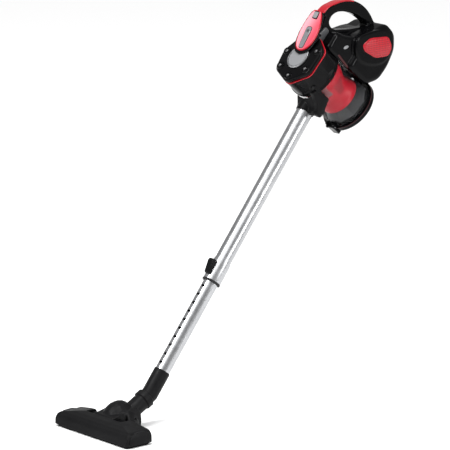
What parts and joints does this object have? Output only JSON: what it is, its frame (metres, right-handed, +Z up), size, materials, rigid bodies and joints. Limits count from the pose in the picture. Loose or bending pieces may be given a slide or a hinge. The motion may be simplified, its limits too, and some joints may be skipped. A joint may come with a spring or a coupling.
{
  "type": "upright vacuum cleaner",
  "caption": "Corded stick vacuum: castellated floor head on a swivel neck, telescopic steel tube, clear cyclone dust cup and a looped motor handle.",
  "frame": {"origin": "on the floor, on the sole plate under the middle of the floor head", "axes": "-Y towards the front of the floor head, +X to the side of the vacuum that faces the viewer in the picture, +Z up"},
  "size_m": [0.238, 0.777, 0.8115],
  "materials": {
    "gloss_black_abs": "high gloss moulded ABS",
    "satin_black_abs": "satin moulded ABS",
    "matte_black_polypropylene": "fine matte moulded polypropylene",
    "gloss_red_abs": "high gloss moulded ABS",
    "polished_steel_tube": "polished chrome-plated steel tube",
    "zinc_steel": "zinc-plated steel",
    "grey_abs": "satin grey ABS",
    "smoke_polycarbonate": "clear smoke-tinted polycarbonate",
    "black_rubber": "matte rubber",
    "nylon_bristle": "dense nylon bristles",
    "red_felt": "directional lint-lifting felt",
    "white_filter": "pleated and padded filter fleece",
    "copper_winding": "lacquered copper winding on a steel shaft",
    "circuit_board": "green solder resist on fibreglass"
  },
  "bodies": {
    "hand_unit": {"housing_left": "gloss_black_abs", "housing_right": "gloss_black_abs", "front_panel": "gloss_red_abs", "display_lens": "grey_abs", "vent_cover_left": "gloss_red_abs", "vent_cover_right": "gloss_red_abs", "exhaust_filter_left": "white_filter", "exhaust_filter_right": "white_filter", "motor_can": "zinc_steel", "motor_mount": "black_rubber", "circuit_board": "circuit_board", "cord_gland": "black_rubber", "front_cap": "gloss_black_abs", "cap_disc": "grey_abs", "trim_ring": "gloss_red_abs", "cyclone_collar": "gloss_black_abs", "cyclone_cone": "gloss_red_abs", "cone_screen": "zinc_steel", "pleated_filter": "white_filter", "filter_frame": "satin_black_abs"},
    "power_button": {"power_button": "grey_abs"},
    "fan": {"rotor": "copper_winding", "impeller": "satin_black_abs"},
    "dust_cup": {"dust_cup": "smoke_polycarbonate", "hinge_lug_left": "gloss_black_abs", "hinge_lug_right": "gloss_black_abs", "lid_hinge_pin": "zinc_steel", "latch_lug_left": "gloss_black_abs", "latch_lug_right": "gloss_black_abs", "latch_pin": "zinc_steel"},
    "cup_lid": {"cup_lid": "gloss_black_abs", "lid_seal": "black_rubber"},
    "lid_latch": {"lid_latch": "gloss_black_abs"},
    "tube": {"outer_tube": "polished_steel_tube", "slide_sleeve": "satin_black_abs", "seal_ring": "black_rubber"},
    "latch_slider": {"latch_button": "satin_black_abs"},
    "inner_tube": {"inner_tube": "polished_steel_tube", "elbow": "matte_black_polypropylene"},
    "neck": {"neck": "matte_black_polypropylene", "swivel_ring": "matte_black_polypropylene"},
    "floor_head": {"head_cover": "matte_black_polypropylene", "sole_plate": "satin_black_abs", "pivot_pin_left": "satin_black_abs", "pivot_pin_right": "satin_black_abs", "lint_strip_left": "red_felt", "lint_strip_right": "red_felt", "sole_screw_left": "zinc_steel", "sole_screw_right": "zinc_steel", "wheel_axle_left": "zinc_steel", "wheel_axle_right": "zinc_steel"},
    "pedal": {"pedal_left": "satin_black_abs", "pedal_right": "satin_black_abs", "pedal_shaft": "zinc_steel"},
    "brushes": {"brush_front": "nylon_bristle", "brush_rear": "nylon_bristle", "brush_carrier": "satin_black_abs"},
    "wheel_left": {"wheel_left": "black_rubber"},
    "wheel_right": {"wheel_right": "black_rubber"}
  },
  "joints": [
    {"name": "button_press", "type": "slide", "parent": "hand_unit", "child": "power_button", "axis": [0, 0.8377, -0.5461], "range_m": [0, 0.002], "stiffness_N_per_m": 400, "springref_m": -0.001},
    {"name": "fan_spin", "type": "hinge", "parent": "hand_unit", "child": "fan", "pos_m": [0, 0.69504, 0.70501], "axis": [0, 0.7649, -0.6441], "continuous": true},
    {"name": "cup_slide", "type": "slide", "parent": "hand_unit", "child": "dust_cup", "axis": [0, 0.7649, -0.6441], "range_m": [0, 0.1]},
    {"name": "lid_hinge", "type": "hinge", "parent": "dust_cup", "child": "cup_lid", "pos_m": [0, 0.6972, 0.63927], "axis": [1, 0, 0], "range_deg": [0, 80]},
    {"name": "latch_tilt", "type": "hinge", "parent": "dust_cup", "child": "lid_latch", "pos_m": [0, 0.60788, 0.55028], "axis": [-1, 0, 0], "range_deg": [0, 12], "stiffness_Nm_per_rad": 0.25, "springref_deg": -5.73},
    {"name": "tube_pull", "type": "slide", "parent": "hand_unit", "child": "tube", "axis": [0, -0.6173, -0.7867], "range_m": [0, 0.015]},
    {"name": "tube_latch", "type": "slide", "parent": "tube", "child": "latch_slider", "axis": [0, -0.6173, -0.7867], "range_m": [0, 0.006], "stiffness_N_per_m": 300, "springref_m": -0.002},
    {"name": "tube_telescope", "type": "slide", "parent": "tube", "child": "inner_tube", "axis": [0, -0.6173, -0.7867], "range_m": [-0.18, 0.02]},
    {"name": "neck_swivel", "type": "hinge", "parent": "inner_tube", "child": "neck", "pos_m": [0, 0.05566, 0.02706], "axis": [0, 0.8746, 0.4848], "range_deg": [-90, 90]},
    {"name": "head_pitch", "type": "hinge", "parent": "neck", "child": "floor_head", "pos_m": [0, 0.05566, 0.02706], "axis": [1, 0, 0], "range_deg": [-30, 14]},
    {"name": "pedal_rock", "type": "hinge", "parent": "floor_head", "child": "pedal", "pos_m": [0, 0.025, 0.024], "axis": [1, 0, 0], "range_deg": [0, 12]},
    {"name": "brush_drop", "type": "slide", "parent": "floor_head", "child": "brushes", "axis": [0, 0, -1], "range_m": [0, 0.005]},
    {"name": "wheel_left_roll", "type": "hinge", "parent": "floor_head", "child": "wheel_left", "pos_m": [0.101, 0.02, 0.007], "axis": [1, 0, 0], "continuous": true},
    {"name": "wheel_right_roll", "type": "hinge", "parent": "floor_head", "child": "wheel_right", "pos_m": [-0.101, 0.02, 0.007], "axis": [1, 0, 0], "continuous": true}
  ],
  "couplings": [
    {"joint": "brush_drop", "follows": "pedal_rock", "m_per_rad": 0.0238}
  ]
}
